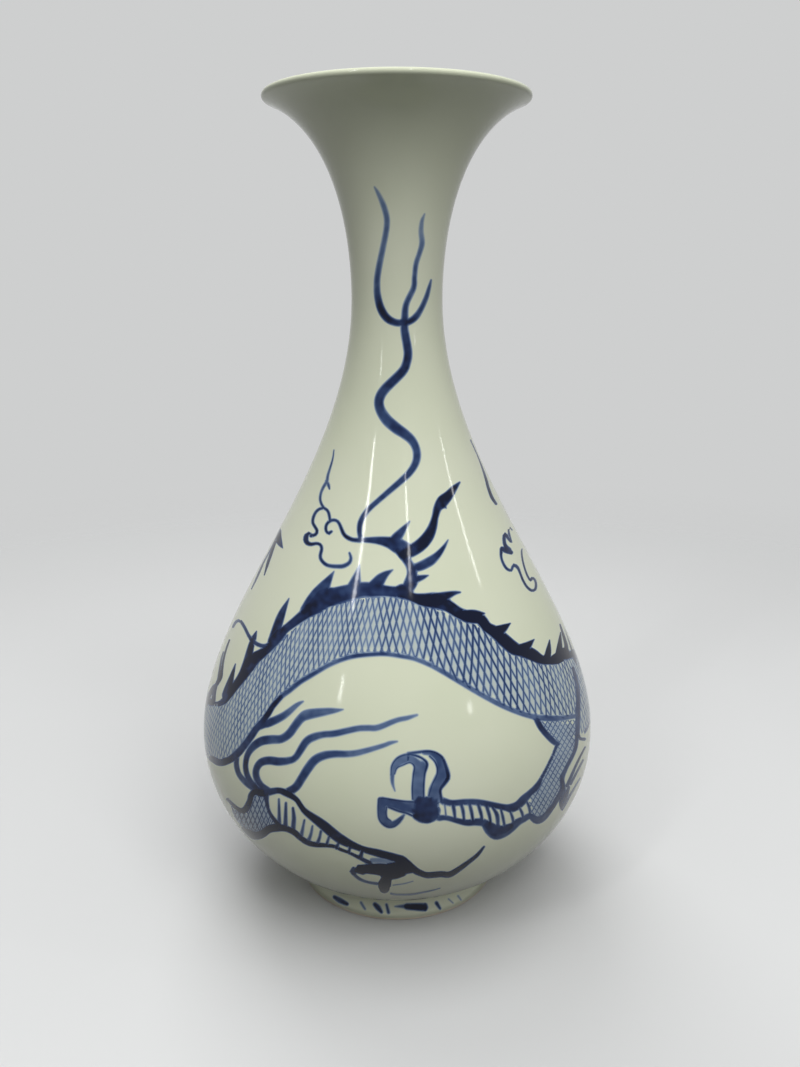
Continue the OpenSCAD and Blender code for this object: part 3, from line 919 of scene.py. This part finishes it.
FULL_BAND = 18.0
RIDGE_STEP = 4
RIDGE_TONE = 0.97
RIDGE_RISE = 0.6
BELLY_TONE = 0.74
BELLY_WIDTH = 1.5
SPIKE_TONE = 0.95
SPIKE_PITCH = 7.5
SPIKE_AFTER = 12
SPIKE_BEFORE = 4
SPIKE_ROOT = 0.5
SPIKE_TIP = 0.4
DASH_TONE = 0.85
DASH_DEGREES = np.arange(72, 290, 9.5)
DASH = [(0, 6.9, 1), (0.5, 5.4, 1.2), (1, 3.6, 0.7)]


def wavering(number, middle, spread, pace):
    """A value that wavers about its middle from one number to the next."""
    return middle + spread * np.sin(pace * number)


def back_ridge(first, last):
    """The ridge, the belly line and the spikes along a stretch of the back, in degrees."""
    stretch = np.linspace(first, last, round(abs(last - first) / RIDGE_STEP) + 1)
    top, bottom = body_edges(np.radians(stretch))
    girth = stretch * MM_PER_DEGREE
    width = wavering(stretch, middle=2.6, spread=0.5, pace=1.7)
    strokes = [
        (RIDGE_TONE, np.c_[girth, top + RIDGE_RISE, width]),
        (BELLY_TONE, np.c_[girth, bottom, np.full(len(stretch), BELLY_WIDTH)])]
    for number, even in enumerate(np.arange(first + SPIKE_AFTER, last - SPIKE_BEFORE, SPIKE_PITCH)):
        degrees = wavering(number, middle=even, spread=1.6, pace=5.1)
        top, bottom = body_edges(math.radians(degrees))
        size = (top - bottom) / FULL_BAND * wavering(number, middle=1, spread=0.3, pace=3.7)
        lean = size * wavering(number, middle=1, spread=0.5, pace=2.9)
        x = degrees * MM_PER_DEGREE
        strokes.append((SPIKE_TONE, [
            (x - lean, top - SPIKE_ROOT, 4 * size),
            (x + 1.2 * lean, top + 3.4 * size, 2.8 * size),
            (x + 4.4 * lean, top + 7.5 * size, SPIKE_TIP)]))
    return strokes


def foot_border():
    """Slanting dashes. The points of a dash are (share of its slant, height, share of its width)."""
    strokes = []
    for number, degrees in enumerate(DASH_DEGREES):
        x = degrees * MM_PER_DEGREE
        slant = wavering(number, middle=2.6, spread=1.2, pace=4.1)
        width = wavering(number, middle=1.3, spread=0.5, pace=2.3)
        strokes.append((DASH_TONE, [(x + a * slant, height, b * width) for a, height, b in DASH]))
    return strokes


# Materials

def add_node(tree, kind, inputs, **settings):
    """A shader node. Each of its inputs is given a value, or the output of another node."""
    node = tree.nodes.new("ShaderNode" + kind)
    for name, setting in settings.items():
        setattr(node, name, setting)
    for name, given in inputs.items():
        if isinstance(given, bpy.types.NodeSocket):
            tree.links.new(given, node.inputs[name])
        else:
            node.inputs[name].default_value = given
    return node


def new_material(name, roughness):
    material = bpy.data.materials.new(name)
    material.use_nodes = True
    shader = material.node_tree.nodes["Principled BSDF"]
    shader.inputs["Roughness"].default_value = roughness
    return material, material.node_tree, shader


def own_places(tree):
    return add_node(tree, "TexCoord", {}).outputs["Object"]


def cloudy(tree, places, scale, detail):
    node = add_node(tree, "TexNoise", {"Vector": places, "Scale": scale, "Detail": detail})
    return node.outputs["Fac"]


def ramp(tree, value, stops):
    node = add_node(tree, "ValToRGB", {"Fac": value})
    elements = node.color_ramp.elements
    elements[0].position, elements[0].color = stops[0]
    elements[1].position, elements[1].color = stops[-1]
    for position, colour in stops[1:-1]:
        elements.new(position).color = colour
    return node.outputs["Color"]


def bump(tree, height, strength, distance, over=None):
    inputs = {"Height": height, "Strength": strength, "Distance": distance}
    if over:
        inputs["Normal"] = over
    return add_node(tree, "Bump", inputs).outputs["Normal"]


def make_glaze():
    """Ivory glaze with a green cast, and the cobalt under it by the pigment that a mesh carries."""
    material, tree, shader = new_material("glaze", roughness=0.08)
    shader.inputs["Specular IOR Level"].default_value = 0.25
    places = own_places(tree)
    ivory = ramp(tree, cloudy(tree, places, scale=14, detail=3), [
        (0.3, srgb(211, 217, 191)), (0.5, srgb(216, 221, 197)), (0.72, srgb(220, 224, 203))])
    pigment = add_node(tree, "Attribute", {}, attribute_name="pigment").outputs["Fac"]
    cobalt = ramp(tree, pigment, [
        (0.0, srgb(190, 200, 194)), (0.25, srgb(162, 177, 189)), (0.5, srgb(104, 126, 160)),
        (0.75, srgb(46, 68, 110)), (0.9, srgb(20, 39, 80)), (1.0, srgb(2, 13, 42))])
    cover = add_node(tree, "MapRange", {"Value": pigment, "From Max": 0.2}).outputs["Result"]
    colour = add_node(tree, "Mix", {"Factor": cover, "A": ivory, "B": cobalt}, data_type="RGBA")
    tree.links.new(colour.outputs["Result"], shader.inputs["Base Color"])
    waves = bump(tree, cloudy(tree, places, scale=45, detail=1), strength=0.05, distance=0.002)
    grain = cloudy(tree, places, scale=420, detail=2)
    normal = bump(tree, grain, strength=0.03, distance=0.0004, over=waves)
    tree.links.new(normal, shader.inputs["Normal"])
    return material


def make_clay(name, colours, roughness):
    """Bare fired clay."""
    material, tree, shader = new_material(name, roughness)
    places = own_places(tree)
    shade = ramp(tree, cloudy(tree, places, scale=60, detail=5), [(0.3, colours[0]), (0.7, colours[1])])
    tree.links.new(shade, shader.inputs["Base Color"])
    grain = bump(tree, cloudy(tree, places, scale=1500, detail=3), strength=0.3, distance=0.0002)
    tree.links.new(grain, shader.inputs["Normal"])
    return material


glaze_look = make_glaze()
porcelain_look = make_clay("porcelain", [srgb(190, 178, 158), srgb(214, 205, 188)], roughness=0.75)
slip_look = make_clay("slip", [srgb(222, 214, 198), srgb(232, 226, 214)], roughness=0.8)

# Camera

camera_data = bpy.data.cameras.new("camera")
camera_data.sensor_fit = "VERTICAL"
camera_data.sensor_height = SENSOR
camera_data.lens = PHOTO_FOCAL / PHOTO_HEIGHT * SENSOR
camera = bpy.data.objects.new("camera", camera_data)
camera_yaw = -math.atan((PHOTO_WIDTH / 2 - PHOTO_AXIS) / PHOTO_FOCAL)
camera.location = CAMERA_PLACE * MM
camera.rotation_euler = (math.pi / 2 - CAMERA_PITCH, 0, camera_yaw)
camera_turn = Euler(camera.rotation_euler).to_matrix()
bpy.context.scene.collection.objects.link(camera)
bpy.context.scene.camera = camera

# Turned pieces

ROW_STEP = 1.9
FLOOR_STEP = 3.0
OUTER_SKIP = 6
INNER_SKIP = 8


def wall_at(points):
    """Thickness of the clay wall, which thins evenly from the foot to the lip."""
    share = (points[:, 1:] - FOOT_TOP[1]) / (lip_start[1] - FOOT_TOP[1])
    return LOWER_WALL + share * (2 * LIP_RADIUS - LOWER_WALL)


clay_line, clay_normals = clay_outline(CLAY_STEPS)
clay_inside = clay_line - wall_at(clay_line) * clay_normals
glaze_inside = fine_clay - (wall_at(fine_clay) + GLAZE) * fine_normals
floor_edge = clay_inside[0]
floor_corner = coat_corner(floor_edge, UP, -fine_normals[0])

outer_line = np.vstack([
    evenly(coat[:2], ROW_STEP),
    evenly(coat[2::OUTER_SKIP], ROW_STEP),
    lip_roll(LIP_RADIUS + GLAZE)])
under_line = np.vstack([lip_roll(LIP_RADIUS)[::-1], clay_line[-2::-1], [bare_edge]])
inside_line = np.vstack([
    [[0, floor_edge[1]]],
    evenly([[FLOOR_STEP, floor_edge[1]], floor_edge], FLOOR_STEP),
    clay_inside[1:],
    evenly(glaze_inside[:INNER_SKIP:-INNER_SKIP], ROW_STEP),
    evenly([floor_corner, [FLOOR_STEP, floor_corner[1]]], FLOOR_STEP),
    [[0, floor_corner[1]]]])

outer_points, outer_faces = turned_faces(outer_line, False)[:2]
glaze_tree = BVHTree.FromPolygons((outer_points * MM).tolist(), outer_faces)
front = photo_canvas()


def whole_edge(before, shown, after):
    """An edge of the body all round, from its shown pixels: angles in radians, and heights."""
    angle, height = front.find(np.array(shown, float)[:, :2])
    edge = np.vstack([before, np.c_[np.degrees(angle), height], after])
    return np.radians(edge[:, 0]), edge[:, 1]


body_top = whole_edge(NECK_TOP, BODY_TOP, TAIL_TOP)
body_bottom = whole_edge(NECK_BOTTOM, BELLY_LINE, TAIL_BOTTOM)

outer_glaze = turned("glaze_outside", np.vstack([outer_line, under_line]), glaze_look, glaze_wash)
inner_glaze = turned("glaze_inside", inside_line, glaze_look)
for piece, node in ((outer_glaze, "outer_glaze"), (inner_glaze, "inner_glaze")):
    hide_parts(node)
    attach(piece, "root")

looks = {"porcelain": porcelain_look, "slip": slip_look, "glaze": glaze_look}
for row in frame["record"]["subparts"]:
    frame["nodes"][row["node"]].data.materials[0] = looks[row["material_slot"]]

# Painted pieces

BELLY_LINES = [(0.92, BELLY_LINE[:11]), (0.74, BELLY_LINE[9:23]), (0.64, BELLY_LINE[21:])]
FRONT_CLOUD = CLOUDS[:6]
FRONT_LEG = RIGHT_WASH + RIGHT_LEG + RIGHT_THIGH
# The hind leg's strokes carry the painted shade line along the foot join, which is copied round the
# back too
HIND_LEG_AND_JOIN_SHADE = LEFT_WASH + LEFT_LEG_AND_JOIN_SHADE + LEFT_THIGH
# The end of the thigh, which the photograph's view cuts off
THIGH_END = [(0.95, [(229.5, 801.5, 2.5), (232, 810, 3), (236.5, 818, 3.5), (242, 826, 4)])]
strokes_by_name = [
    ("flame", FLAME, front),
    ("clouds", CLOUDS, front),
    ("crest", CREST, front),
    ("ridge", RIDGE + BELLY_LINES, front),
    ("tuft", TUFT, front),
    ("legs", FRONT_LEG + HIND_LEG_AND_JOIN_SHADE, front),
    ("foot", FOOT_STROKES, front),
    ("back_neck", back_ridge(first=-156, last=-68), girth_canvas(middle=-110)),
    ("back_tail", back_ridge(first=66, last=158), girth_canvas(middle=110)),
    ("head", HEAD, patch_canvas(turn=-163, height=122)),
    ("pearl", PEARL, patch_canvas(turn=150, height=128)),
    ("tail_flames", TAIL_FLAMES, patch_canvas(turn=160, height=91)),
    ("back_front_leg", FRONT_LEG, photo_canvas(turn=-150, rise=-26)),
    ("back_hind_leg", HIND_LEG_AND_JOIN_SHADE + THIGH_END, photo_canvas(turn=152)),
    ("back_flame", FLAME, photo_canvas(turn=180, mirrored=True)),
    ("back_cloud_left", FRONT_CLOUD, photo_canvas(turn=-78)),
    ("back_cloud_right", FRONT_CLOUD, photo_canvas(turn=140, rise=-12)),
    ("back_foot", foot_border(), girth_canvas(middle=180)),
]
stroke_layers = [layer("painting_" + name, strokes, canvas, STROKE_LIFT, STROKE_STEP, STROKE_SHARE)
                 for name, strokes, canvas in strokes_by_name]
scales_layer = layer("painting_scales", scale_lines(), girth_canvas(), SCALES_LIFT, 0, SCALE_SHARE)
painted(scales_layer, [])
for stroke_layer in stroke_layers:
    painted(stroke_layer, stroke_layers)

# Stage

PALE = srgb(206, 207, 207)
DIM = srgb(106, 106, 106)
FLOOR_REACH = 1.4
FLOOR_FADE_START = 0.3
FLOOR_FADE_END = 0.8
FLOOR_ROUGHNESS = 0.9
AMBIENT = 0.09
LAMP_AIM = Vector((0, 0, 0.15))

# Lamps: name, azimuth and elevation in degrees, distance, width, height, watts, shown in reflections
LAMPS = [
    ("overhead", 8, 76, 1.4, 1.3, 1.3, 15.6, False),
    ("key", 25, 40, 1.5, 0.9, 0.9, 7.4, False),
    ("back", 200, 55, 1.5, 0.9, 0.9, 10.5, False),
    ("left_strip", -38, 41, 1.2, 0.04, 0.38, 1.6, True),
    ("left_low", -35.5, 20, 1.2, 0.03, 0.12, 0.25, True),
    ("front_strip", 12, 44, 1.2, 0.03, 0.3, 0.8, True),
    ("right_strip", 76, 30, 1.2, 0.04, 0.2, 0.4, True),
    ("right_low", 43, 14, 1.2, 0.06, 0.05, 0.15, True),
]


def seen_directly(tree):
    """1 for what the camera, a reflection or glass sees, and 0 for light that bounces on."""
    path = add_node(tree, "LightPath", {})
    total = path.outputs["Is Camera Ray"]
    for name in ("Is Glossy Ray", "Is Transmission Ray"):
        either = add_node(tree, "Math", {0: total, 1: path.outputs[name]}, operation="MAXIMUM")
        total = either.outputs[0]
    return total


def mixed(tree, factor, a, b):
    return add_node(tree, "MixShader", {"Fac": factor, 1: a, 2: b}).outputs["Shader"]


def add_floor():
    """A pale floor that fades into the backdrop, and is dim to the light that bounces off it."""
    corners = [(FLOOR_REACH * x, FLOOR_REACH * y, 0) for x, y in ((-1, -1), (1, -1), (1, 1), (-1, 1))]
    mesh = bpy.data.meshes.new("floor")
    mesh.from_pydata(corners, [], [(0, 1, 2, 3)])
    floor = bpy.data.objects.new("floor", mesh)
    bpy.context.scene.collection.objects.link(floor)
    material, tree, shader = new_material("floor", FLOOR_ROUGHNESS)
    shader.inputs["Base Color"].default_value = PALE
    dim = add_node(tree, "BsdfDiffuse", {"Color": DIM})
    surface = mixed(tree, seen_directly(tree), dim.outputs["BSDF"], shader.outputs["BSDF"])
    distance = add_node(tree, "VectorMath", {0: own_places(tree)}, operation="LENGTH")
    fade = add_node(tree, "MapRange", {
        "Value": distance.outputs["Value"], "From Min": FLOOR_FADE_START, "From Max": FLOOR_FADE_END,
    }, interpolation_type="SMOOTHSTEP")
    clear = add_node(tree, "BsdfTransparent", {})
    faded = mixed(tree, fade.outputs["Result"], surface, clear.outputs["BSDF"])
    tree.links.new(faded, tree.nodes["Material Output"].inputs["Surface"])
    mesh.materials.append(material)


def add_world():
    """A pale backdrop for what is seen, and a faint even light for the rest."""
    world = bpy.data.worlds.new("studio")
    bpy.context.scene.world = world
    world.use_nodes = True
    tree = world.node_tree
    ambient = tree.nodes["Background"]
    ambient.inputs["Color"].default_value = (1, 1, 1, 1)
    ambient.inputs["Strength"].default_value = AMBIENT
    backdrop = add_node(tree, "Background", {"Color": PALE})
    surface = mixed(tree, seen_directly(tree),
                    ambient.outputs["Background"], backdrop.outputs["Background"])
    tree.links.new(surface, tree.nodes["World Output"].inputs["Surface"])


def add_lamp(name, azimuth, elevation, distance, width, height, power, reflected):
    """A lamp that faces the vase. Azimuth 0 is the front, and azimuths rise to the right."""
    data = bpy.data.lights.new(name, "AREA")
    data.shape = "RECTANGLE"
    data.size = width
    data.size_y = height
    data.energy = power
    lamp = bpy.data.objects.new(name, data)
    turn, rise = math.radians(azimuth), math.radians(elevation)
    flat = math.cos(rise)
    away = Vector((math.sin(turn) * flat, -math.cos(turn) * flat, math.sin(rise)))
    lamp.location = LAMP_AIM + distance * away
    lamp.rotation_euler = away.to_track_quat("Z", "Y").to_euler()
    lamp.visible_glossy = reflected
    lamp.visible_camera = False
    bpy.context.scene.collection.objects.link(lamp)


add_floor()
add_world()
for lamp in LAMPS:
    add_lamp(*lamp)
bpy.context.scene.view_settings.view_transform = "Standard"
